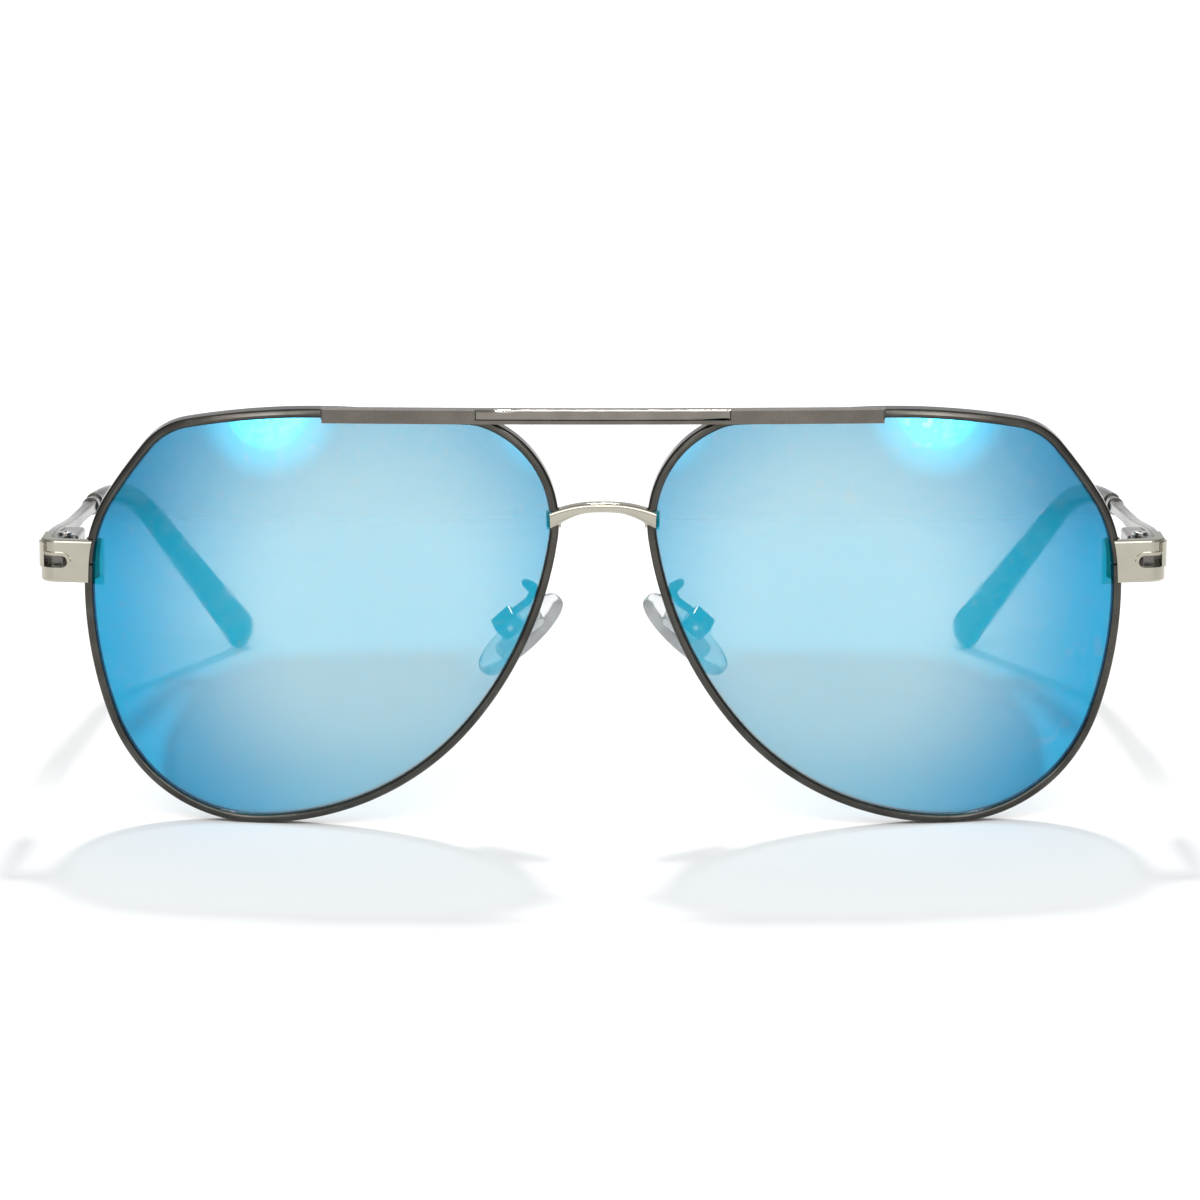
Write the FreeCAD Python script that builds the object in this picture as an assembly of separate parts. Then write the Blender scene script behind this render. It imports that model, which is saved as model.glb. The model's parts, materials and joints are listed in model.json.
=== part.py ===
import FreeCAD, Part

# Aviator sunglasses, open and standing on the rims' lowest points and the ends of the temple tips.
# Millimetres. +X is the wearer's left, the lenses face -Y, +Z is up.
# Everything is drawn for the wearer's left and mirrored across the YZ plane.

import math
import os

V = FreeCAD.Vector
Placement = FreeCAD.Placement
Rotation = FreeCAD.Rotation

# ---- front: stance and lens outline -------------------------------------------------------------
ORIGIN_Y = -66.35  # puts the origin in the middle of the depth
FRONT_LIFT = 32.49  # height of the front's own origin above the table
FRONT_LEAN = 3.5  # the top of the front leans forward, degrees
LENS_X, LENS_Z = 37.9, -3.8  # centre of one lens in the front's own frame
LENS_WRAP = 5.0  # each lens turns outward, degrees
LENS_R = 120.0  # the lens is part of a sphere
LENS_T = 1.6
OUTLINE_START = (-5.63, 27.78)  # from the lens centre, on the top edge
OUTLINE_HEADING = 3.0
# radius and turn of each arc, clockwise from the top edge; None is worked out so that the ring closes
OUTLINE_ARCS = [
    (None, 14.65),  # brow line
    (9.0, 39.0),  # upper outer corner
    (79.1, 6.2),
    (18.7, 29.5),  # outer corner, at the hinge
    (56.0, 21.35),
    (23.3, 17.6),
    (18.7, 57.4),  # bottom
    (None, 47.6),  # long lower nasal sweep
    (52.4, 30.8),
    (13.8, 78.2),  # upper nasal corner
    (6.5, 17.2),
    (1650.0, 0.5),
]

# ---- rims ----------------------------------------------------------------------------------------
RIM_W = 1.2  # across the rim, seen from the front
RIM_AHEAD, RIM_BEHIND = 0.7, 2.1  # from the lens's front surface
RIM_ROUND = 0.45
GROOVE_DEPTH, LENS_INTO_GROOVE = 0.5, 0.45
RIM_CUT_Z, RIM_CUT_W = 2.9, 0.25  # where the rim opens to take the lens

# ---- brow bar and bridge ---------------------------------------------------------------------
BAR_HALF, BAR_Z0, BAR_Z1 = 37.5, 23.55, 25.45
BAR_Y0, BAR_Y1, BAR_BOW = 0.0, 2.1, 0.9  # front and back at the middle, and the fall at the ends
BAR_LIP = 0.55  # height of the lower step
BAR_STEP = 0.35  # how far the step stands back
INLAY_HALF, INLAY_Z0, INLAY_DEPTH = 17.0, 24.15, 0.55
INLAY_PROUD, INLAY_GAP, INLAY_ROUND = 0.12, 0.05, 0.3
BRIDGE_UPPER = [(-7.8, 11.3), (-5.2, 12.2), (-2.7, 12.7), (0, 12.8), (2.7, 12.7), (5.2, 12.2), (7.8, 11.3)]
BRIDGE_LOWER = [(-7.8, 8.8), (-5.0, 10.4), (-2.7, 11.3), (0, 11.5), (2.7, 11.3), (5.0, 10.4), (7.8, 8.8)]
BRIDGE_Y0, BRIDGE_Y1, BRIDGE_ROUND = 0.2, 2.3, 0.55
FOOT_X, FOOT_Z0, FOOT_Z1, FOOT_T = (5.6, 7.75), 8.7, 11.0, 0.8  # brazed feet behind the rims

# ---- end piece and hinge ---------------------------------------------------------------------
END_Z0, END_Z1 = 33.53, 39.33
END_T = 1.4
END_OUT = 75.9
SLOT_Z, SLOT_R, SLOT_X = 36.38, 0.85, 72.95
SLOT_END = 75.3  # the outer wall closes the slot
SEAM_X, SEAM_W, SEAM_Y = 75.1, 0.14, 7.2  # dark line between the wall and the front plate
LIP_W, LIP_PROUD = 0.42, 0.22
PIN_X, PIN_Y, PIN_Z = 73.0, 13.2, 36.43
TEMPLE_SLOPE = 2.5  # temples run down to the back, degrees
BARREL_R, BORE_R, SCREW_R = 1.25, 0.75, 0.7
KNUCKLE_H, BARREL_H = 1.6, 1.45  # middle barrel, and each outer one
HINGE_GAP = 0.06  # between barrels
SCREW_HEAD_R, SCREW_HEAD_H = 1.1, 0.45
CROSS_L, CROSS_W, CROSS_DEPTH = 0.75, 0.12, 0.25  # half length, half width and depth of its recess
RETURN_END = 12.9
BUTT_GAP = 0.15

# ---- temple, in its own frame: origin on the pin, y along the temple, z along the pin ----------
# y, x of the centre, height, thickness
BLADE = [
    (0.0, 2.2, 4.6, 1.4),
    (10.0, 2.2, 4.4, 1.4),
    (20.0, 2.1, 3.1, 1.45),
    (30.0, 2.05, 2.0, 1.5),
    (38.0, 2.0, 1.6, 1.5),
    (44.0, 1.8, 1.6, 1.6),
    (50.2, 1.6, 1.9, 1.8),
]
FERRULE_Y, FERRULE_L = 50.2, 7.0
FERRULE_H, FERRULE_T, FERRULE_RING, RING_L = 2.1, 2.0, 0.25, 1.1
HOUSING = (4.3, 13.5, -1.3, 1.5, 3.3)  # y0, y1, x0, x1, height
CARRIAGE_ROD = (1.9, 1.6)  # width and height of the square rod
ROD_X = 0.1
PARTITION_Y, PARTITION_T, END_WALL = 7.0, 0.6, 0.6
SLIDE_GAP = 0.05  # round the rod and the guide
GUIDE_R, SPRING_ROOM_R = 0.35, 0.95
SPRING_R, SPRING_WIRE, SPRING_TURNS = 0.62, 0.3, 7
NUT_Y, NUT_L, NUT_R = 11.0, 0.8, 0.8
TIP_DROP_R, TIP_DROP_TURN = 175.0, 11.5
TIP_BEND_R, TIP_BEND_TURN = 22.0, 30.0
TIP_STRAIGHT = 28.88
TIP_H, TIP_SWELL = (2.6, 6.3), 1.9  # height at its two ends, and how late it grows
TIP_T = (2.3, 2.9)
TIP_CAP, CAP_SHARES = 2.6, (0.4, 0.7, 0.9)
TIP_INWARD_START, TIP_INWARD = 4.0, 31.0  # heading in plan before and after the bend, degrees
CORE_R, CORE_BEND = 0.65, 14.0
CORE_STATIONS = (10, 18, 26)
DROP_STEPS = 14

# ---- rim locks, in the front's own frame ---------------------------------------------------------
LOCK_X0, LOCK_X1, LOCK_BACK = 67.0, 69.9, 10.9
LOCK_Z0, LOCK_Z1 = 0.0, 5.75
LOCK_POCKET = (67.6, 68.5, 1.2, 4.7)  # x0, x1, z0, z1
LOCK_SCREW_X, LOCK_SCREW_Y, LOCK_SCREW_R = 69.15, 10.1, 0.4

# ---- nose pads, in the front's own frame ---------------------------------------------------------
PAD_C = V(11.2, 9.6, -7.3)
PAD_LONG = V(0.739, 0, -0.674)  # along the pad, from its upper end
PAD_SPLAY = 22.0  # how far its bearing face turns to the wearer, degrees
PAD_L, PAD_W, PAD_T = 14.6, 7.4, 2.1
INSERT_L, INSERT_W, INSERT_T = 8.0, 3.4, 0.6
BOSS, BOSS_TOP = 1.2, 3.55  # square boss on the insert, and how far it reaches
HOLDER_X, HOLDER_Y, HOLDER_Z0, HOLDER_Z1 = 3.4, 2.9, 1.75, 4.3
HOLDER_GAP = 0.3
PAD_SCREW_Z, PAD_SCREW_R, PAD_BORE_R = 2.9, 0.4, 0.45
ARM_R, ARM_BEND = 0.5, 0.75
ARM_ROUTE = [(9.1, 3.4, -2.6), (8.9, 5.8, -0.9), (11.1, 7.2, 0.9), (9.3, 9.2, -0.5), (10.2, 9.3, -2.4)]


def box(x0, x1, y0, y1, z0, z1):
    return Part.makeBox(x1 - x0, y1 - y0, z1 - z0, V(x0, y0, z0))


def closing_radii():
    """The outline's radii, with the two open ones set so that its arcs end where they began."""
    heading = math.radians(OUTLINE_HEADING)
    chords = []
    for _, turn in OUTLINE_ARCS:
        after = heading - math.radians(turn)
        chords.append((math.sin(heading) - math.sin(after), math.cos(after) - math.cos(heading)))
        heading = after
    known = [(r, c) for (r, _), c in zip(OUTLINE_ARCS, chords) if r]
    a, b = [c for (r, _), c in zip(OUTLINE_ARCS, chords) if not r]
    rest_x = -sum(r * c[0] for r, c in known)
    rest_z = -sum(r * c[1] for r, c in known)
    det = a[0] * b[1] - a[1] * b[0]
    solved = [(rest_x * b[1] - rest_z * b[0]) / det, (a[0] * rest_z - a[1] * rest_x) / det]
    return [r if r else solved.pop(0) for r, _ in OUTLINE_ARCS]


def lens_outline(offset):
    """The lens outline as a chain of tangent arcs, moved outward by offset, in the front's XZ plane."""
    radii = closing_radii()
    heading = math.radians(OUTLINE_HEADING)
    x = LENS_X + OUTLINE_START[0]
    z = LENS_Z + OUTLINE_START[1]
    edges = []
    for radius, (_, turn) in zip(radii, OUTLINE_ARCS):
        cx, cz = x + radius * math.sin(heading), z - radius * math.cos(heading)
        r = radius + offset

        def at(angle):
            return V(cx - r * math.sin(angle), 0, cz + r * math.cos(angle))

        after = heading - math.radians(turn)
        edges.append(Part.Arc(at(heading), at((heading + after) / 2), at(after)).toShape())
        x, z = cx - radius * math.sin(after), cz + radius * math.cos(after)
        heading = after
    return Part.Wire(edges)


def lens_prism(offset):
    """The outline as a block that runs through the front from far ahead to far behind."""
    face = Part.Face(lens_outline(offset))
    face.translate(V(0, -8, 0))
    return face.extrude(V(0, 30, 0))


def lens_ball(radius):
    wrap = math.radians(LENS_WRAP)
    return Part.makeSphere(radius, V(LENS_X - LENS_R * math.sin(wrap), LENS_R * math.cos(wrap), 0))


def shell_slice(offset, ahead, behind):
    """The lens's shell inside the outline, from ahead of its front surface to behind it."""
    return lens_prism(offset).common(lens_ball(LENS_R + ahead)).cut(lens_ball(LENS_R - behind))


def to_world(shape):
    """From the front's own frame to the row frame."""
    moved = shape.copy()
    moved.Placement = Placement(V(0, ORIGIN_Y, FRONT_LIFT), Rotation(V(1, 0, 0), FRONT_LEAN)).multiply(
        moved.Placement
    )
    return moved


def upright(shape):
    """From the unleaned frame of the end piece to the row frame."""
    moved = shape.copy()
    moved.translate(V(0, ORIGIN_Y, 0))
    return moved


def to_front(shape):
    """From the unleaned frame back to the front's own frame, to cut one by the other."""
    moved = shape.copy()
    lean = Placement(V(0, 0, FRONT_LIFT), Rotation(V(1, 0, 0), FRONT_LEAN))
    moved.Placement = lean.inverse().multiply(moved.Placement)
    return moved


def from_front(shape):
    moved = shape.copy()
    lean = Placement(V(0, 0, FRONT_LIFT), Rotation(V(1, 0, 0), FRONT_LEAN))
    moved.Placement = lean.multiply(moved.Placement)
    return moved


def from_temple(shape):
    """From the temple's own frame to the unleaned frame."""
    moved = shape.copy()
    place = Placement(V(PIN_X, PIN_Y, PIN_Z), Rotation(V(1, 0, 0), -TEMPLE_SLOPE))
    moved.Placement = place.multiply(moved.Placement)
    return moved


def rounded(shape, radius, keep):
    """shape with a fillet on the edges that keep says."""
    return shape.makeFillet(radius, [e for e in shape.Edges if keep(e)])


# ---- the front -----------------------------------------------------------------------------------


def rim_and_lens():
    lens = shell_slice(LENS_INTO_GROOVE, 0, LENS_T)
    groove = shell_slice(GROOVE_DEPTH, 0.02, LENS_T + 0.02)
    rim = shell_slice(RIM_W, RIM_AHEAD, RIM_BEHIND).cut(lens_prism(0))
    rim = rounded(rim, RIM_ROUND, lambda e: e.Length > 0.5)
    rim = rim.cut(groove)
    gap = box(64, 74, 0, 20, RIM_CUT_Z, RIM_CUT_Z + RIM_CUT_W)
    return rim.cut(gap), lens


def bow(x):
    """How far the brow bar's curve has fallen back at x from its middle."""
    radius = (BAR_HALF**2 + BAR_BOW**2) / (2 * BAR_BOW)
    return radius - math.sqrt(radius**2 - x**2)


def bowed_bar(half, z0, z1, y0, y1):
    """A bar along X with the brow bar's bow; y0 and y1 are its front and back at the middle."""
    front = Part.Arc(V(-half, y0 + bow(half), z0), V(0, y0, z0), V(half, y0 + bow(half), z0)).toShape()
    back = Part.Arc(V(half, y1 + bow(half), z0), V(0, y1, z0), V(-half, y1 + bow(half), z0)).toShape()
    right = Part.makeLine(front.Vertexes[-1].Point, back.Vertexes[0].Point)
    left = Part.makeLine(back.Vertexes[-1].Point, front.Vertexes[0].Point)
    face = Part.Face(Part.Wire([front, right, back, left]))
    return face.extrude(V(0, 0, z1 - z0))


def brow_bar():
    """Satin bar with a lower step, cut to sit on the rims, and a polished inlay let into its front."""
    upper = bowed_bar(BAR_HALF, BAR_Z0 + BAR_LIP, BAR_Z1, BAR_Y0, BAR_Y1)
    middle = (BAR_Z0 + BAR_LIP + BAR_Z1) / 2
    corners = [e for e in upper.Edges if abs(e.CenterOfMass.z - middle) < 0.01 and e.Length < 2]
    upper = upper.makeFillet(0.5, [e for e in corners if e.CenterOfMass.y < BAR_Y0 + BAR_BOW + 0.1])
    lower = bowed_bar(BAR_HALF - 0.1, BAR_Z0, BAR_Z0 + BAR_LIP, BAR_Y0 + BAR_STEP, BAR_Y1)
    bar = upper.fuse(lower).removeSplitter()
    for side in (1, -1):
        bar = bar.cut(handed(shell_slice(RIM_W, RIM_AHEAD, RIM_BEHIND), side))
    proud, seat = INLAY_PROUD, BAR_Y0 + INLAY_DEPTH
    pocket = bowed_bar(INLAY_HALF, INLAY_Z0, BAR_Z1 + 1, BAR_Y0 - 3, seat)
    inlay = bowed_bar(INLAY_HALF - INLAY_GAP, INLAY_Z0 + INLAY_GAP, BAR_Z1 + proud, BAR_Y0 - proud, seat)
    front = []
    for edge in inlay.Edges:
        middle = edge.CenterOfMass
        if edge.Length > 5 and middle.y < BAR_Y0 + INLAY_DEPTH / 2:
            front.append(edge)
        if abs(middle.x) > INLAY_HALF - 0.1 and middle.y < BAR_Y0 + bow(INLAY_HALF):
            if abs(edge.Vertexes[0].Z - edge.Vertexes[-1].Z) > 0.5:
                front.append(edge)
    return bar.cut(pocket), inlay.makeFillet(INLAY_ROUND, front)


def bridge():
    """The polished lower bridge: a flat-topped arch on two brazed feet."""
    curves = []
    for row in (BRIDGE_UPPER, BRIDGE_LOWER):
        curve = Part.BSplineCurve()
        curve.interpolate([V(x, BRIDGE_Y0, z) for x, z in row])
        curves.append(curve.toShape())
    ends = []
    for i in (0, -1):
        (x0, z0), (x1, z1) = BRIDGE_UPPER[i], BRIDGE_LOWER[i]
        ends.append(Part.makeLine(V(x0, BRIDGE_Y0, z0), V(x1, BRIDGE_Y0, z1)))
    face = Part.Face(Part.Wire(Part.__sortEdges__(curves + ends)))
    arch = face.extrude(V(0, BRIDGE_Y1 - BRIDGE_Y0, 0))
    arch = arch.makeFillet(BRIDGE_ROUND, [e for e in arch.Edges if e.Length > 5])
    opening = lens_prism(0.02)
    seat = shell_slice(GROOVE_DEPTH, 0.05, LENS_T + 0.05)
    foot = box(*FOOT_X, 2, 6, FOOT_Z0, FOOT_Z1)
    back = lens_ball(LENS_R - RIM_BEHIND)
    foot = foot.common(back).cut(lens_ball(LENS_R - RIM_BEHIND - FOOT_T))
    neck = box(FOOT_X[0] - 0.2, FOOT_X[0] + 1, BRIDGE_Y0 + 0.6, 4.9, FOOT_Z0 + 1.3, FOOT_Z1 - 0.2)
    neck = neck.cut(lens_prism(RIM_W)).cut(lens_ball(LENS_R - RIM_BEHIND - FOOT_T))
    whole = arch
    for side in (1, -1):
        whole = whole.cut(handed(opening, side)).cut(handed(seat, side))
        whole = whole.fuse([handed(foot, side), handed(neck, side)])
    return whole.removeSplitter()


def end_profile(proud, thickness):
    """Plan of the end piece: across the front, round the corner and back to the hinge."""
    out, front = END_OUT + proud, 4.75 - proud
    inner = END_OUT - thickness
    corner = 2.1
    outer = [
        Part.makeLine(V(67.5, front, 0), V(out - corner - 0.4, front + 0.95, 0)),
        Part.Arc(
            V(out - corner - 0.4, front + 0.95, 0), V(out - 0.62, front + 1.85, 0), V(out, front + 3.5, 0)
        ).toShape(),
        Part.makeLine(V(out, front + 3.5, 0), V(out, RETURN_END, 0)),
        Part.makeLine(V(out, RETURN_END, 0), V(inner, RETURN_END, 0)),
        Part.makeLine(V(inner, RETURN_END, 0), V(inner, 8.9, 0)),
        Part.Arc(V(inner, 8.9, 0), V(inner - 0.4, 7.75, 0), V(inner - 1.3, 7.1, 0)).toShape(),
        Part.makeLine(V(inner - 1.3, 7.1, 0), V(67.5, 4.75 + thickness, 0)),
        Part.makeLine(V(67.5, 4.75 + thickness, 0), V(67.5, front, 0)),
    ]
    return Part.Face(Part.Wire(outer))


def end_block(proud):
    face = end_profile(proud, END_T)
    face.translate(V(0, 0, END_Z0))
    return face.extrude(V(0, 0, END_Z1 - END_Z0))


def slot_tool(grow, x_end):
    """A slot along X with a round inner end."""
    r = SLOT_R + grow
    bar = box(SLOT_X, x_end, -2, RETURN_END + 1, SLOT_Z - r, SLOT_Z + r)
    cap = Part.makeCylinder(r, RETURN_END + 3, V(SLOT_X, -2, SLOT_Z), V(0, 1, 0))
    return bar.fuse(cap)


def end_piece():
    """Bent plate from the rim to the hinge, slotted at its corner, with a raised lip over the slot."""
    plate = end_block(0)
    long_edges = [
        e
        for e in plate.Edges
        if abs(e.CenterOfMass.z - END_Z0) < 0.01 or abs(e.CenterOfMass.z - END_Z1) < 0.01
    ]
    front_edges = [e for e in long_edges if e.CenterOfMass.y < 5.5 or e.CenterOfMass.x > END_OUT - 0.8]
    plate = plate.makeFillet(0.35, front_edges)
    ring = slot_tool(LIP_W, END_OUT + 2).cut(slot_tool(0, END_OUT + 3))
    ring = ring.common(box(SLOT_X - 3, END_OUT + 2, -2, 8.4, SLOT_Z, SLOT_Z + 3))
    strip = box(SLOT_END, END_OUT + 1, -2, 8.4, SLOT_Z - SLOT_R, END_Z1 - 0.4)
    lip = end_block(LIP_PROUD).common(ring.fuse(strip))
    seam = box(SEAM_X, SEAM_X + SEAM_W, -2, SEAM_Y, SLOT_Z, END_Z1 - 0.5)
    whole = plate.fuse(lip).cut(slot_tool(0, SLOT_END)).cut(seam).removeSplitter()
    return whole.cut(from_front(lens_prism(0.55)))


def hinge_barrel(z0, z1):
    return Part.makeCylinder(BARREL_R, z1 - z0, V(0, 0, z0))


def screw_bore(radius):
    return Part.makeCylinder(radius, 12, V(0, 0, -6))


def front_hinge():
    """Two outer barrels on a leaf that is brazed inside the end piece, in the temple's frame."""
    top = KNUCKLE_H / 2 + HINGE_GAP
    leaf_x = END_OUT - END_T - PIN_X
    parts = []
    for low in (top, -top - BARREL_H):
        lug = box(0, leaf_x, -3.2, -0.35, low, low + BARREL_H)
        parts.append(hinge_barrel(low, low + BARREL_H).fuse(lug))
    leaf = box(0.1, leaf_x, -4.2, -1.5, -top - BARREL_H, top + BARREL_H)
    whole = leaf.multiFuse(parts).removeSplitter()
    return whole.cut(screw_bore(SCREW_R))


def hinge_screw():
    """Fillister screw that is the hinge's pin."""
    top = KNUCKLE_H / 2 + HINGE_GAP + BARREL_H
    shank = Part.makeCylinder(SCREW_R, 2 * top, V(0, 0, -top))
    head = Part.makeCylinder(SCREW_HEAD_R, SCREW_HEAD_H, V(0, 0, top))
    head = head.makeFillet(0.15, [e for e in head.Edges if e.CenterOfMass.z > top + SCREW_HEAD_H - 0.01])
    bottom = top + SCREW_HEAD_H - CROSS_DEPTH
    cross = box(-CROSS_L, CROSS_L, -CROSS_W, CROSS_W, bottom, bottom + 1)
    cross = cross.fuse(box(-CROSS_W, CROSS_W, -CROSS_L, CROSS_L, bottom, bottom + 1))
    return shank.fuse(head).cut(cross)


def hinge_carriage():
    """Middle barrel with the square rod and round guide that run into the spring housing."""
    w, h = CARRIAGE_ROD
    barrel = hinge_barrel(-KNUCKLE_H / 2, KNUCKLE_H / 2)
    rod = box(ROD_X - w / 2, ROD_X + w / 2, 0, PARTITION_Y - 0.05, -h / 2, h / 2)
    shoulder = V(ROD_X, PARTITION_Y - 0.05, 0)
    guide = Part.makeCylinder(GUIDE_R, NUT_Y + NUT_L + 0.1 - PARTITION_Y, shoulder, V(0, 1, 0))
    return barrel.multiFuse([rod, guide]).removeSplitter().cut(screw_bore(BORE_R))


def spring_housing():
    """Box on the temple's inner side, with a partition that the hinge spring bears on."""
    y0, y1, x0, x1, height = HOUSING
    w, h = CARRIAGE_ROD
    body = box(x0, x1, y0, y1, -height / 2, height / 2)
    body = body.makeFillet(0.5, [e for e in body.Edges if abs(e.CenterOfMass.x - x0) < 0.01])
    w, h = w + 2 * SLIDE_GAP, h + 2 * SLIDE_GAP
    mouth = box(ROD_X - w / 2, ROD_X + w / 2, y0 - 1, PARTITION_Y, -h / 2, h / 2)
    hole = Part.makeCylinder(GUIDE_R + SLIDE_GAP, 8, V(ROD_X, y0, 0), V(0, 1, 0))
    room_y = PARTITION_Y + PARTITION_T
    room = Part.makeCylinder(SPRING_ROOM_R, y1 - END_WALL - room_y, V(ROD_X, room_y, 0), V(0, 1, 0))
    return body.cut(mouth).cut(hole).cut(room)


def hinge_spring():
    """Coil spring round the guide, between the partition and the nut."""
    start = PARTITION_Y + PARTITION_T + SPRING_WIRE / 2
    pitch = (NUT_Y - SPRING_WIRE / 2 - start) / (SPRING_TURNS - 1)
    rings = []
    for turn in range(SPRING_TURNS):
        centre = V(ROD_X, start + pitch * turn, 0)
        rings.append(Part.makeTorus(SPRING_R, SPRING_WIRE / 2 - 0.01, centre, V(0, 1, 0)))
    return Part.makeCompound(rings)


def spring_nut():
    """Nut on the end of the guide that the spring pushes."""
    nut = Part.makeCylinder(NUT_R, NUT_L, V(ROD_X, NUT_Y, 0), V(0, 1, 0))
    return nut.cut(Part.makeCylinder(GUIDE_R, 3, V(ROD_X, NUT_Y - 1, 0), V(0, 1, 0)))


def blade_section(y, x, height, thickness, corner):
    """Rounded rectangle across the temple."""
    hx, hz, r = thickness / 2, height / 2, corner
    cos45 = math.cos(math.pi / 4)
    edges = []
    for sx, sz in ((1, 1), (1, -1), (-1, -1), (-1, 1)):
        cx, cz = x + sx * (hx - r), sz * (hz - r)
        ends = [V(cx, y, cz + sz * r), V(cx + sx * r, y, cz)]
        if sx * sz < 0:
            ends.reverse()
        middle = V(cx + sx * r * cos45, y, cz + sz * r * cos45)
        edges.append(Part.Arc(ends[0], middle, ends[1]).toShape())
    loop = []
    for i, edge in enumerate(edges):
        loop.append(edge)
        loop.append(Part.makeLine(edge.lastVertex().Point, edges[(i + 1) % 4].firstVertex().Point))
    return Part.Wire(loop)


def temple_blade():
    """Flat metal side arm that narrows to a waist and swells to the tip."""
    stations = [blade_section(y if y else -0.3 + BUTT_GAP, x, h, t, 0.35) for y, x, h, t in BLADE]
    return Part.makeLoft(stations, True, False)


def tip_path():
    """Stations along the tip: point, heading down and heading inward in degrees, distance."""
    y, z, x = FERRULE_Y + FERRULE_L, 0.0, BLADE[-1][1]
    down, inward, run = 0.0, TIP_INWARD_START, 0.0
    stations = [(V(x, y, z), down, 0.0, run)]
    drop = math.radians(TIP_DROP_TURN) * TIP_DROP_R
    bend = math.radians(TIP_BEND_TURN) * TIP_BEND_R
    legs = [(drop, TIP_DROP_TURN, 0.0, DROP_STEPS)]
    legs.append((bend, TIP_BEND_TURN, TIP_INWARD - TIP_INWARD_START, 8))
    legs.append((TIP_STRAIGHT, 0.0, 0.0, 10))
    for length, turn_down, turn_in, steps in legs:
        for _ in range(steps):
            down += turn_down / steps
            inward += turn_in / steps
            step = length / steps
            flat = step * math.cos(math.radians(down))
            x -= flat * math.sin(math.radians(inward))
            y += flat * math.cos(math.radians(inward))
            z -= step * math.sin(math.radians(down))
            run += step
            stations.append((V(x, y, z), down, inward, run))
    return stations


def ellipse_at(point, down, inward, height, thickness):
    """Elliptical section square to the tip's path."""
    turn = Rotation(V(0, 0, 1), inward).multiply(Rotation(V(1, 0, 0), -down))
    major, minor = max(height, thickness) / 2, min(height, thickness) / 2
    curve = Part.Ellipse(V(0, 0, 0), major, minor)
    edge = curve.toShape()
    edge.Placement = Placement(V(0, 0, 0), Rotation(V(0, 0, 1), V(1, 0, 0), V(0, 1, 0), "ZXY"))
    edge.Placement = Placement(point, turn).multiply(edge.Placement)
    return Part.Wire(edge)


def tip_size(run, total):
    """Height and thickness of the tip at a distance along it."""
    share = run / total
    height = TIP_H[0] + (TIP_H[1] - TIP_H[0]) * share**TIP_SWELL
    thickness = TIP_T[0] + (TIP_T[1] - TIP_T[0]) * math.sin(share * math.pi / 2)
    return height, thickness


def tip_core():
    """Wire inside the tip that lets it be bent to fit an ear."""
    stations = tip_path()
    route = [stations[0][0] - V(0, 1.5, 0)] + [stations[i][0] for i in CORE_STATIONS]
    return bent_rod(route, CORE_R, CORE_BEND)


def temple_tip():
    """Plastic sleeve, a smooth solid through elliptical sections, with a round end."""
    stations = tip_path()
    total = stations[-1][3]
    rings = []
    for point, down, inward, run in stations[:DROP_STEPS:2] + stations[DROP_STEPS:]:
        height, thickness = tip_size(run, total)
        rings.append(ellipse_at(point, down, inward, height, thickness))
    turn = Rotation(V(0, 0, 1), inward).multiply(Rotation(V(1, 0, 0), -down))
    for share in CAP_SHARES:
        shrink = math.sqrt(1 - share**2)
        ahead = point + turn.multVec(V(0, TIP_CAP * share, 0))
        rings.append(ellipse_at(ahead, down, inward, height * shrink, thickness * shrink))
    return Part.makeLoft(rings, True, False)


def ferrule():
    """Collar between the metal arm and the tip, with a rounded ring at each end."""
    x = BLADE[-1][1]

    def collar(y, length, grow):
        edge = Part.Ellipse(V(0, 0, 0), FERRULE_H / 2 + grow, FERRULE_T / 2 + grow).toShape()
        edge.Placement = Placement(V(x, y, 0), Rotation(V(0, 0, 1), V(1, 0, 0), V(0, 1, 0), "ZXY"))
        return Part.Face(Part.Wire(edge)).extrude(V(0, length, 0))

    body = collar(FERRULE_Y, FERRULE_L, 0)
    for y in (FERRULE_Y, FERRULE_Y + FERRULE_L - RING_L):
        ring = collar(y, RING_L, FERRULE_RING)
        body = body.fuse(ring.makeFillet(0.22, [e for e in ring.Edges if e.Length > 3]))
    return body.removeSplitter()


# ---- rim locks and nose pads ---------------------------------------------------------------------


def rim_locks():
    """Two blocks brazed behind the rim's cut, and the screw that closes it round the lens."""
    middle = RIM_CUT_Z
    blocks = []
    x0, x1, z0, z1 = LOCK_POCKET
    pocket = box(x0, x1, 5, 9.3, z0, z1)
    for low, high in ((LOCK_Z0, middle), (middle + RIM_CUT_W, LOCK_Z1)):
        block = box(LOCK_X0, LOCK_X1, 6, LOCK_BACK, low, high)
        upright_edges = [e for e in block.Edges if abs(e.CenterOfMass.z - (low + high) / 2) < 0.01]
        block = block.makeFillet(0.4, [e for e in upright_edges if e.CenterOfMass.x < LOCK_X0 + 0.1])
        block = block.common(lens_ball(LENS_R - RIM_BEHIND)).cut(pocket)
        blocks.append(block)
    shank = Part.makeCylinder(LOCK_SCREW_R, LOCK_Z1 - LOCK_Z0 - 0.4, V(LOCK_SCREW_X, LOCK_SCREW_Y, LOCK_Z0))
    head = Part.makeCylinder(0.7, 0.35, V(LOCK_SCREW_X, LOCK_SCREW_Y, LOCK_Z0 - 0.35))
    x, y = LOCK_SCREW_X, LOCK_SCREW_Y
    drive = box(x - 1, x + 1, y - 0.1, y + 0.1, LOCK_Z0 - 1, LOCK_Z0 - 0.2)
    screw = shank.fuse(head).cut(drive)
    lower, upper = [b.cut(shank) for b in blocks]
    return lower, upper, screw


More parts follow.
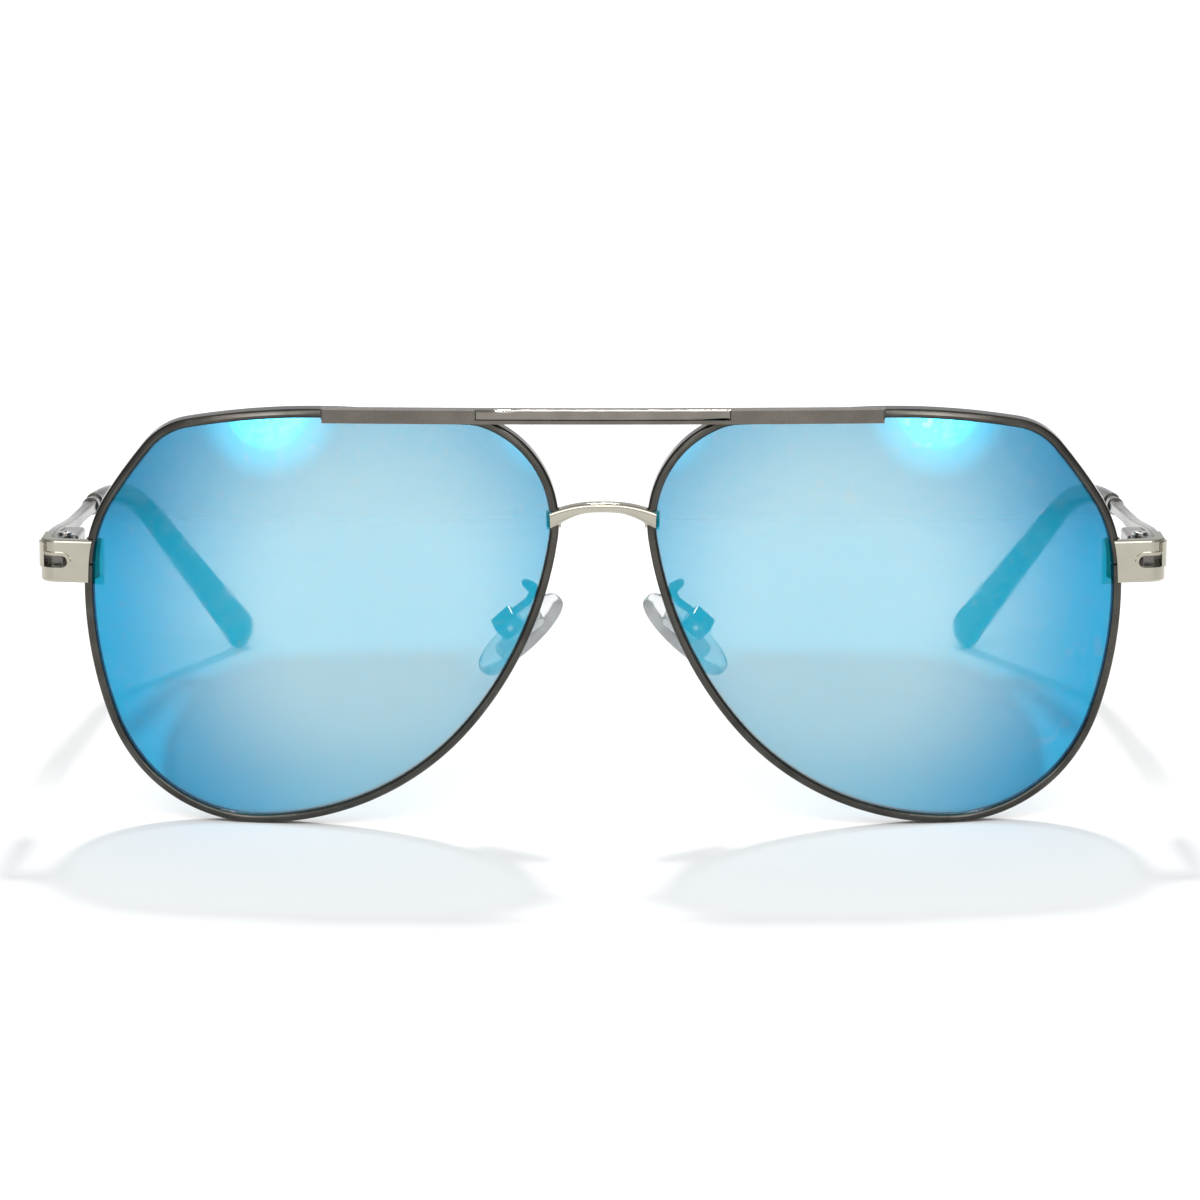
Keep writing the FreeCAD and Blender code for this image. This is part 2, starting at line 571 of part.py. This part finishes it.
def pad_place():
    """Frame of a nose pad: x along it, y across it, z from its middle towards its holder."""
    splay = math.radians(PAD_SPLAY)
    side = V(PAD_LONG.z, 0, -PAD_LONG.x)
    bearing = V(side.x * math.cos(splay), math.sin(splay), side.z * math.cos(splay))
    away = V(-bearing.x, -bearing.y, -bearing.z)
    return Placement(PAD_C, Rotation(PAD_LONG, away.cross(PAD_LONG), away, "XZY"))


def placed(shape, place):
    moved = shape.copy()
    moved.Placement = place.multiply(moved.Placement)
    return moved


def pad_insert():
    """Hard plate inside the pad, with the boss that the screw goes through."""
    plate = box(-INSERT_L / 2, INSERT_L / 2, -INSERT_W / 2, INSERT_W / 2, -INSERT_T / 2, INSERT_T / 2)
    plate = plate.makeFillet(1.2, [e for e in plate.Edges if abs(e.CenterOfMass.z) < 0.01])
    boss = box(-BOSS / 2, BOSS / 2, -BOSS / 2, BOSS / 2, 0, BOSS_TOP)
    bore = Part.makeCylinder(PAD_BORE_R, 8, V(0, -4, PAD_SCREW_Z), V(0, 1, 0))
    return plate.fuse(boss).removeSplitter().cut(bore)


def nose_pad():
    """Soft oval pad with rounded edges."""
    half_l, half_w = PAD_L / 2, PAD_W / 2
    ring = Part.Wire(Part.Ellipse(V(0, 0, -PAD_T / 2), half_l, half_w).toShape())
    pad = Part.Face(ring).extrude(V(0, 0, PAD_T))
    pad = pad.makeFillet(0.8, [e for e in pad.Edges if e.Length > 10])
    neck = Part.makeCylinder(1.3, 0.35, V(0, 0, PAD_T / 2 - 0.05))
    return pad.fuse(neck).cut(pad_insert())


def pad_holder():
    """Open box that the pad's boss sits in."""
    x, y = HOLDER_X / 2, HOLDER_Y / 2
    outer = box(-x, x, -y, y, HOLDER_Z0, HOLDER_Z1)
    outer = outer.makeFillet(0.45, [e for e in outer.Edges if e.CenterOfMass.z > HOLDER_Z0 + 0.1])
    gap = BOSS / 2 + HOLDER_GAP
    room = box(-gap, gap, -gap + 0.1, gap - 0.1, 0, BOSS_TOP + HOLDER_GAP)
    bore = Part.makeCylinder(PAD_SCREW_R, 8, V(0, -4, PAD_SCREW_Z), V(0, 1, 0))
    return outer.cut(room).cut(bore)


def pad_screw():
    y = HOLDER_Y / 2
    shank = Part.makeCylinder(PAD_SCREW_R, 2 * y, V(0, -y, PAD_SCREW_Z), V(0, 1, 0))
    head = Part.makeCylinder(0.65, 0.3, V(0, y, PAD_SCREW_Z), V(0, 1, 0))
    drive = box(-1, 1, y + 0.15, y + 1, PAD_SCREW_Z - 0.1, PAD_SCREW_Z + 0.1)
    return shank.fuse(head).cut(drive)


def bent_rod(points, radius, bend):
    """Round rod along straight runs joined by tangent arcs."""
    edges = []
    last = points[0]
    for before, corner, after in zip(points, points[1:], points[2:]):
        into, out = (corner - before).normalize(), (after - corner).normalize()
        turn = into.getAngle(out)
        back = bend * math.tan(turn / 2)
        start, end = corner - into * back, corner + out * back
        middle = corner + (out - into).normalize() * (bend / math.cos(turn / 2) - bend)
        edges.append(Part.makeLine(last, start))
        edges.append(Part.Arc(start, middle, end).toShape())
        last = end
    edges.append(Part.makeLine(last, points[-1]))
    circle = Part.makeCircle(radius, points[0], (points[1] - points[0]))
    return Part.Wire(edges).makePipeShell([Part.Wire(circle)], True, True)


def pad_arm():
    """Gooseneck wire from a solder plate on the rim's back to the pad's holder."""
    place = pad_place()
    end = place.multVec(V(-0.2, 0, HOLDER_Z1 - 0.5))
    wire = bent_rod([V(*p) for p in ARM_ROUTE] + [end], ARM_R, ARM_BEND)
    plate = box(8.0, 10.6, 2, 5, -4.7, -1.0)
    plate = plate.common(lens_prism(RIM_W)).cut(lens_prism(0.1))
    plate = plate.common(lens_ball(LENS_R - RIM_BEHIND)).cut(lens_ball(LENS_R - RIM_BEHIND - 0.6))
    holder = placed(pad_holder(), place)
    room = placed(box(-1.2, 1.2, -1.1, 1.1, 0, BOSS_TOP + HOLDER_GAP), place)
    return plate.fuse([wire.cut(room), holder]).removeSplitter()


SIDES = {"left": 1, "right": -1}


def handed(shape, side):
    return shape if side > 0 else shape.mirror(V(0, 0, 0), V(1, 0, 0))


def build():
    rim, lens = rim_and_lens()
    bar, inlay = brow_bar()
    end = end_piece()
    nodes = {}
    arch = bridge()
    lower_lock, upper_lock, lock_screw = rim_locks()
    arm = pad_arm()
    place = pad_place()
    core = tip_core()
    blade = temple_blade()
    housing = spring_housing().cut(blade)
    rim = rim.cut(to_front(end)).cut(arch)
    for name, side in SIDES.items():
        nodes["rim_" + name] = handed(to_world(rim), side)
        nodes["lens_" + name] = handed(to_world(lens), side)
        nodes["end_piece_" + name] = handed(upright(end), side)
        nodes["front_hinge_" + name] = handed(upright(from_temple(front_hinge())), side)
        nodes["hinge_screw_" + name] = handed(upright(from_temple(hinge_screw())), side)
        nodes["hinge_carriage_" + name] = handed(upright(from_temple(hinge_carriage())), side)
        nodes["spring_housing_" + name] = handed(upright(from_temple(housing)), side)
        nodes["hinge_spring_" + name] = handed(upright(from_temple(hinge_spring())), side)
        nodes["temple_" + name] = handed(upright(from_temple(blade)), side)
        nodes["temple_tip_" + name] = handed(upright(from_temple(temple_tip().cut(core))), side)
        nodes["tip_core_" + name] = handed(upright(from_temple(core)), side)
        nodes["tip_ferrule_" + name] = handed(upright(from_temple(ferrule().cut(core))), side)
        nodes["spring_nut_" + name] = handed(upright(from_temple(spring_nut())), side)
        nodes["rim_lock_lower_" + name] = handed(to_world(lower_lock), side)
        nodes["rim_lock_upper_" + name] = handed(to_world(upper_lock), side)
        nodes["rim_lock_screw_" + name] = handed(to_world(lock_screw), side)
        nodes["pad_arm_" + name] = handed(to_world(arm), side)
        nodes["nose_pad_" + name] = handed(to_world(placed(nose_pad(), place)), side)
        nodes["pad_insert_" + name] = handed(to_world(placed(pad_insert(), place)), side)
        nodes["pad_screw_" + name] = handed(to_world(placed(pad_screw(), place)), side)
    nodes["brow_bar"] = to_world(bar)
    nodes["brow_bar_inlay"] = to_world(inlay)
    nodes["bridge"] = to_world(arch)
    return nodes


def main():
    os.makedirs("parts", exist_ok=True)
    for name, shape in build().items():
        shape.exportStep("parts/" + name + ".step")
        print(name, shape.isValid(), round(shape.Volume, 2), len(shape.Solids))


main()
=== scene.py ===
import json
import math

import bpy
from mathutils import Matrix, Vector


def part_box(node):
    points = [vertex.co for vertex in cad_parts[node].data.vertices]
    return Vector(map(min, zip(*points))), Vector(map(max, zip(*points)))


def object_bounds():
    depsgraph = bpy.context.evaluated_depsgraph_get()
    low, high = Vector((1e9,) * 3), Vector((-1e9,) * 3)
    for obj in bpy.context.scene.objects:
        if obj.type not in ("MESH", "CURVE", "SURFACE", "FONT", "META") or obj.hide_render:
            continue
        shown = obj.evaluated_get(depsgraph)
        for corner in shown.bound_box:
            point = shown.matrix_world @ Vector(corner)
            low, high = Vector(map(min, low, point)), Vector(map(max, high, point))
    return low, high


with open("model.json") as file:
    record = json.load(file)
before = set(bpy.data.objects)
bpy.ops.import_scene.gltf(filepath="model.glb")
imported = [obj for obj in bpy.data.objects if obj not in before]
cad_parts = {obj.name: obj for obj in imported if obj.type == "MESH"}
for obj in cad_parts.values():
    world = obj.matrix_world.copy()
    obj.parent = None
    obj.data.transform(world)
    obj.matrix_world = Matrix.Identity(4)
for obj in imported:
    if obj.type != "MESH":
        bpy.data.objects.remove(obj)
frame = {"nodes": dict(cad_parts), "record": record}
CAD_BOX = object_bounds()

MM = 0.001

# ---- the front's own frame and the lens, as in the CAD source, in metres --------------------------
FRONT_LEAN = math.radians(3.5)  # the top leans forward
FRONT_ORIGIN = Vector((0, -66.35, 32.49)) * MM
LENS_RADIUS = 120 * MM
LENS_THICKNESS = 1.6 * MM
LENS_WRAP = math.radians(5)
LENS_CENTRE_X = 37.9 * MM


def from_front(x, y, z):
    """A point of the front's own frame, in metres, in the row frame."""
    c, s = math.cos(FRONT_LEAN), math.sin(FRONT_LEAN)
    return FRONT_ORIGIN + Vector((x, y * c - z * s, y * s + z * c))


# ---- camera -----------------------------------------------------------------------------------------
CAMERA_DISTANCE = 0.7
CAMERA_ELEVATION = math.radians(10.5)
AIM = Vector((0, FRONT_ORIGIN.y, 0.554 * CAD_BOX[1].z))

camera = bpy.data.objects.new("camera", bpy.data.cameras.new("camera"))
bpy.context.scene.collection.objects.link(camera)
back = Vector((0, -math.cos(CAMERA_ELEVATION), math.sin(CAMERA_ELEVATION)))
camera.location = AIM + back * CAMERA_DISTANCE
camera.rotation_mode = "QUATERNION"
camera.rotation_quaternion = (-back).to_track_quat("-Z", "Y")
camera.data.lens = 157.1
camera.data.sensor_width = 36
camera.data.shift_x = -0.0025
camera.data.clip_start, camera.data.clip_end = 0.01, 20
bpy.context.scene.camera = camera
bpy.context.scene.view_settings.view_transform = "Standard"


# ---- materials --------------------------------------------------------------------------------------


class Shader:
    """A Principled material with short calls for the nodes that feed it."""

    def __init__(self, name, **constants):
        self.material = bpy.data.materials.new(name)
        self.material.use_nodes = True
        self.tree = self.material.node_tree
        self.nodes = self.tree.nodes
        self.bsdf = self.nodes["Principled BSDF"]
        self.place = self.nodes.new("ShaderNodeTexCoord").outputs["Object"]
        for key, value in constants.items():
            self.bsdf.inputs[key].default_value = value

    def link(self, out, socket):
        self.tree.links.new(out, socket)

    def mapped(self, scale, location=(0, 0, 0)):
        """Object coordinates in metres, scaled along each axis, so a scale of 1000 counts millimetres."""
        node = self.nodes.new("ShaderNodeMapping")
        node.inputs["Scale"].default_value = scale
        node.inputs["Location"].default_value = location
        self.link(self.place, node.inputs["Vector"])
        return node.outputs["Vector"]

    def noise(self, scale, detail=3.0, rough=0.5):
        """Noise with features of about 1/scale metres; scale is one number or one along each axis."""
        scale = (scale,) * 3 if isinstance(scale, (int, float)) else scale
        node = self.nodes.new("ShaderNodeTexNoise")
        node.inputs["Scale"].default_value = 1
        node.inputs["Detail"].default_value = detail
        node.inputs["Roughness"].default_value = rough
        self.link(self.mapped(scale), node.inputs["Vector"])
        return node.outputs["Fac"]

    def span(self, out, low, high, start=0.3, end=0.7):
        """out from start to end becomes low to high."""
        node = self.nodes.new("ShaderNodeMapRange")
        for key, value in (("From Min", start), ("From Max", end), ("To Min", low), ("To Max", high)):
            node.inputs[key].default_value = value
        self.link(out, node.inputs["Value"])
        return node.outputs["Result"]

    def math(self, operation, a, b):
        node = self.nodes.new("ShaderNodeMath")
        node.operation = operation
        for socket, value in zip(node.inputs, (a, b)):
            if isinstance(value, (int, float)):
                socket.default_value = value
            else:
                self.link(value, socket)
        return node.outputs["Value"]

    def blend(self, factor, first, second):
        """Mix of two colours, each four numbers or a socket."""
        node = self.nodes.new("ShaderNodeMix")
        node.data_type = "RGBA"
        self.link(factor, node.inputs[0])
        for socket, value in ((node.inputs[6], first), (node.inputs[7], second)):
            if isinstance(value, tuple):
                socket.default_value = value if len(value) == 4 else (*value, 1)
            else:
                self.link(value, socket)
        return node.outputs[2]

    def colour(self, out):
        self.link(out, self.bsdf.inputs["Base Color"])

    def roughness(self, out):
        self.link(out, self.bsdf.inputs["Roughness"])

    def bump(self, out, strength, distance):
        node = self.nodes.new("ShaderNodeBump")
        node.inputs["Strength"].default_value = strength
        node.inputs["Distance"].default_value = distance
        self.link(out, node.inputs["Height"])
        self.link(node.outputs["Normal"], self.bsdf.inputs["Normal"])


def metal(name, dark, light, rough, grain, grain_depth, **constants):
    """Plated metal: slow colour drift, fine grain in the roughness and a shallow bump from it."""
    s = Shader(name, Metallic=1.0, **constants)
    drift = s.span(s.noise(220, 2), 0, 1)
    s.colour(s.blend(drift, dark, light))
    fine = s.noise(grain, 4, 0.6)
    s.roughness(s.span(fine, rough[0], rough[1]))
    s.bump(fine, 0.25, grain_depth)
    return s.material


BRUSHED_ACROSS, BRUSHED_ALONG = (2500, 9000, 9000), (9000, 1500, 9000)
METALS = [  # name, darker colour, lighter colour, roughness, grain, grain depth
    ("gunmetal", (0.055, 0.051, 0.045), (0.09, 0.084, 0.074), (0.10, 0.18), BRUSHED_ACROSS, 2e-6),
    ("bar_satin", (0.13, 0.12, 0.105), (0.17, 0.155, 0.135), (0.22, 0.34), BRUSHED_ACROSS, 2e-6),
    ("polished_metal", (0.42, 0.40, 0.335), (0.48, 0.455, 0.38), (0.05, 0.11), 2600, 5e-7),
    ("polished_dark", (0.19, 0.178, 0.155), (0.25, 0.235, 0.205), (0.06, 0.12), 2600, 5e-7),
    ("satin_metal", (0.17, 0.167, 0.16), (0.24, 0.236, 0.226), (0.16, 0.26), BRUSHED_ALONG, 2e-6),
    ("hinge_steel", (0.16, 0.15, 0.14), (0.22, 0.21, 0.20), (0.22, 0.4), 4200, 3e-6),
    ("screw_steel", (0.50, 0.50, 0.50), (0.62, 0.62, 0.61), (0.14, 0.28), 6000, 2e-6),
    ("spring_steel", (0.40, 0.40, 0.41), (0.52, 0.52, 0.52), (0.16, 0.3), 7000, 2e-6),
    ("core_wire", (0.48, 0.47, 0.44), (0.60, 0.58, 0.54), (0.2, 0.34), BRUSHED_ALONG, 2e-6),
]
MATERIALS = {row[0]: metal(*row) for row in METALS}


def tip_plastic():
    """Glossy black plastic with a faint moulded unevenness."""
    s = Shader("tip_plastic", IOR=1.5)
    s.colour(s.blend(s.span(s.noise(400, 3), 0, 1), (0.010, 0.011, 0.013), (0.020, 0.021, 0.023)))
    s.roughness(s.span(s.noise(1500, 3), 0.12, 0.22))
    s.bump(s.noise(900, 2), 0.15, 4e-6)
    return s.material


PAD_CLEAR = 0.85  # the rest is milky


def clear_pad(name, tint, rough):
    """Clear soft silicone or clear hard plastic, a little cloudy."""
    s = Shader(name, IOR=1.25, **{"Transmission Weight": PAD_CLEAR})
    cloud = s.span(s.noise(700, 3), 0, 1)
    s.colour(s.blend(cloud, tuple(0.94 * c for c in tint), tint))
    s.roughness(s.span(s.noise(2200, 2), *rough))
    s.bump(s.noise(1600, 2), 0.2, 3e-6)
    return s.material


LENS_IOR = 3.8
MIRROR_TINT = (0.01, 0.66, 0.98, 1)
PAINTED_HIGHLIGHT_ACROSS, PAINTED_HIGHLIGHT_UP = 0.39, 0.52  # the palest place of the painted highlight, as shares of the lens's box
PAINTED_HIGHLIGHT_SPREAD_X, PAINTED_HIGHLIGHT_SPREAD_Z = 0.034, 0.045
# the lens colour at its palest place carries a painted highlight, and the colour at the rim carries painted
# shade and painted reflection
TINT_WITH_PAINTED_HIGHLIGHT, TINT_WITH_PAINTED_SHADE = (0.36, 0.47, 0.52), (0.03, 0.10, 0.28)
LENS_SHADOW = (0.38, 0.42, 0.44, 1)


def mirror_lens():
    """Grey tinted lens with an ice-blue mirror coat. Its colour is painted paler near the top middle as a
    painted highlight, and darker and bluer towards the rim as painted shade and painted reflection.
    """
    coat = {"Specular Tint": MIRROR_TINT, "Coat Weight": 1.0, "Coat Roughness": 0.0}
    s = Shader("blue_mirror_lens", IOR=LENS_IOR, **{"Transmission Weight": 1.0}, **coat)
    low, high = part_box("lens_left")
    centre_x, centre_z = low.x + PAINTED_HIGHLIGHT_ACROSS * (high.x - low.x), low.z + PAINTED_HIGHLIGHT_UP * (high.z - low.z)
    split = s.nodes.new("ShaderNodeSeparateXYZ")
    s.link(s.place, split.inputs["Vector"])
    across = s.math("DIVIDE", s.math("SUBTRACT", s.math("ABSOLUTE", split.outputs["X"], 0), centre_x), PAINTED_HIGHLIGHT_SPREAD_X)
    up = s.math("DIVIDE", s.math("SUBTRACT", split.outputs["Z"], centre_z), PAINTED_HIGHLIGHT_SPREAD_Z)
    painted_highlight_distance = s.math("SQRT", s.math("ADD", s.math("MULTIPLY", across, across), s.math("MULTIPLY", up, up)), 0)
    # painted light: the base colour is palest round a point near the top middle, as a painted highlight, and
    # turns darker and bluer towards the rim, as painted shade and painted reflection
    fade = s.span(painted_highlight_distance, 0, 1, 0.3, 1.1)
    fade.node.interpolation_type = "SMOOTHSTEP"
    cloud = s.math("MULTIPLY", s.math("SUBTRACT", s.noise(60, 2), 0.5), 0.06)
    s.colour(s.blend(s.math("ADD", fade, cloud), TINT_WITH_PAINTED_HIGHLIGHT, TINT_WITH_PAINTED_SHADE))
    s.roughness(s.span(s.noise(500, 3), 0.0, 0.03))
    pane = s.nodes.new("ShaderNodeBsdfTransparent")
    pane.inputs["Color"].default_value = LENS_SHADOW
    choose = s.nodes.new("ShaderNodeMixShader")
    path = s.nodes.new("ShaderNodeLightPath")
    s.link(path.outputs["Is Shadow Ray"], choose.inputs[0])
    s.link(s.bsdf.outputs["BSDF"], choose.inputs[1])
    s.link(pane.outputs["BSDF"], choose.inputs[2])
    s.link(choose.outputs["Shader"], s.nodes["Material Output"].inputs["Surface"])
    return s.material


MATERIALS["tip_plastic"] = tip_plastic()
MATERIALS["pad_silicone"] = clear_pad("pad_silicone", (0.97, 0.985, 0.99), (0.08, 0.18))
MATERIALS["insert_plastic"] = clear_pad("insert_plastic", (0.93, 0.96, 0.97), (0.04, 0.1))
MATERIALS["blue_mirror_lens"] = mirror_lens()

FINISHES = {"brow_bar": "bar_satin", "brow_bar_inlay": "polished_dark", "bridge": "polished_metal"}
for part in frame["record"]["subparts"]:
    node = frame["nodes"][part["node"]]
    node.data.materials.clear()
    finish = FINISHES.get(part["node"], part["material_slot"])
    node.data.materials.append(MATERIALS[finish])


# ---- shading of the lens meshes ------------------------------------------------------------------


def lens_normals(node, side):
    """Exact sphere normals on the lens's two faces, so that its reflections are smooth."""
    centre = from_front(
        side * (LENS_CENTRE_X - LENS_RADIUS * math.sin(LENS_WRAP)), LENS_RADIUS * math.cos(LENS_WRAP), 0
    )
    mesh = node.data
    normals = [None] * len(mesh.loops)
    for face in mesh.polygons:
        outward = (face.center - centre).normalized()
        facing = face.normal.dot(outward)
        for loop in face.loop_indices:
            if abs(facing) > 0.8:
                exact = (mesh.vertices[mesh.loops[loop].vertex_index].co - centre).normalized()
                normals[loop] = exact if facing > 0 else -exact
            else:
                normals[loop] = face.normal.copy()
    mesh.normals_split_custom_set(normals)


for name, side in (("left", 1), ("right", -1)):
    lens_normals(frame["nodes"]["lens_" + name], side)


# ---- floor and light -----------------------------------------------------------------------------

FLOOR_HALF = 1.6
FLOOR_SOLID, FLOOR_GONE = 0.16, 0.6  # where the table begins and ends to fade into the backdrop


def floor():
    """White table that fades into the white backdrop with no edge."""
    h = FLOOR_HALF
    mesh = bpy.data.meshes.new("floor")
    mesh.from_pydata([(-h, -h, 0), (h, -h, 0), (h, h, 0), (-h, h, 0)], [], [(0, 1, 2, 3)])
    plane = bpy.data.objects.new("floor", mesh)
    bpy.context.scene.collection.objects.link(plane)
    s = Shader("white_table", Roughness=1.0, **{"Specular IOR Level": 0.0})
    s.colour(s.blend(s.span(s.noise(8, 2), 0, 1), (0.93, 0.93, 0.93), (0.95, 0.95, 0.95)))
    length = s.nodes.new("ShaderNodeVectorMath")
    length.operation = "LENGTH"
    s.link(s.place, length.inputs[0])
    alpha = s.span(length.outputs["Value"], 1, 0, FLOOR_SOLID, FLOOR_GONE)
    alpha.node.interpolation_type = "SMOOTHSTEP"
    s.link(alpha, s.bsdf.inputs["Alpha"])
    mesh.materials.append(s.material)


def area_light(name, place, target, width, height, power, colour=(1, 1, 1)):
    data = bpy.data.lights.new(name, "AREA")
    data.shape = "RECTANGLE"
    data.size, data.size_y = width, height
    data.energy = power
    data.color = colour
    lamp = bpy.data.objects.new(name, data)
    lamp.location = place
    lamp.rotation_mode = "QUATERNION"
    lamp.rotation_quaternion = (Vector(target) - Vector(place)).to_track_quat("-Z", "Y")
    bpy.context.scene.collection.objects.link(lamp)
    return lamp


class Sky:
    """The studio round the object as a brightness for each direction."""

    def __init__(self):
        sky = bpy.data.worlds.new("studio")
        bpy.context.scene.world = sky
        sky.use_nodes = True
        self.tree = sky.node_tree
        self.background = self.tree.nodes["Background"]
        self.direction = self.tree.nodes.new("ShaderNodeTexCoord").outputs["Generated"]
        split = self.tree.nodes.new("ShaderNodeSeparateXYZ")
        self.tree.links.new(self.direction, split.inputs["Vector"])
        self.x, self.y, self.z = (split.outputs[k] for k in "XYZ")

    def math(self, operation, a, b=0.0, c=0.0):
        node = self.tree.nodes.new("ShaderNodeMath")
        node.operation = operation
        for socket, value in zip(node.inputs, (a, b, c)):
            if isinstance(value, (int, float)):
                socket.default_value = value
            else:
                self.tree.links.new(value, socket)
        return node.outputs["Value"]

    def step(self, value, start, end, low, high):
        """value up to start becomes low, value past end becomes high, with a smooth change between."""
        node = self.tree.nodes.new("ShaderNodeMapRange")
        node.interpolation_type = "SMOOTHSTEP"
        for key, number in (("From Min", start), ("From Max", end), ("To Min", low), ("To Max", high)):
            node.inputs[key].default_value = number
        self.tree.links.new(value, node.inputs["Value"])
        return node.outputs["Result"]

    def softbox(self, azimuth, elevation, size, strength):
        """A round soft light; azimuth is from the front, towards +X."""
        a, e = math.radians(azimuth), math.radians(elevation)
        middle = (math.sin(a) * math.cos(e), -math.cos(a) * math.cos(e), math.sin(e))
        node = self.tree.nodes.new("ShaderNodeVectorMath")
        node.operation = "DOT_PRODUCT"
        node.inputs[1].default_value = middle
        self.tree.links.new(self.direction, node.inputs[0])
        return self.step(node.outputs["Value"], math.cos(math.radians(size)), 1.0, 0.0, strength)


BACKDROP = 1.05
OVERHEAD, FRONT_HORIZON = 0.6, 1.0  # brightness of the room overhead and in front
SIDE_DARK = 0.45  # share of light left at the sides
SOFTBOX_AZIMUTH, SOFTBOX_ELEVATION = 20.5, 9
SOFTBOXES = ((11, 1.3), (6.5, 5.0))  # radius in degrees and brightness, one inside the other


def studio():
    sky = Sky()
    forward = sky.step(sky.y, -1.0, 0.2, FRONT_HORIZON, OVERHEAD)
    sides = sky.step(sky.math("ABSOLUTE", sky.x), 0.4, 0.85, 1.0, SIDE_DARK)
    above = sky.math("MULTIPLY", forward, sides)
    up = sky.step(sky.z, -0.12, 0.06, 0.0, 1.0)
    back = sky.step(sky.y, 0.2, 0.5, 0.0, 1.0)
    low = sky.step(sky.z, 0.02, 0.12, 1.0, 0.0)
    behind = sky.step(sky.y, -0.3, 0.1, 0.0, 1.0)
    open_side = sky.math("MAXIMUM", sides, behind)
    below = sky.math("MULTIPLY", BACKDROP, open_side)
    level = sky.math("ADD", below, sky.math("MULTIPLY", up, sky.math("SUBTRACT", above, below)))
    white_back = sky.math("MULTIPLY", back, low)
    level = sky.math("ADD", level, sky.math("MULTIPLY", white_back, sky.math("SUBTRACT", BACKDROP, level)))
    for azimuth in (-SOFTBOX_AZIMUTH, SOFTBOX_AZIMUTH):
        for size, strength in SOFTBOXES:
            level = sky.math("ADD", level, sky.softbox(azimuth, SOFTBOX_ELEVATION, size, strength))
    sky.tree.links.new(level, sky.background.inputs["Color"])
    area_light("key", (0, 0.55, 0.75), (0, -0.02, 0.02), 0.10, 0.10, 5.2)
    area_light("top", (0, -0.75, 0.62), (0, -0.06, 0.03), 1.1, 0.45, 4.1)


floor()
studio()
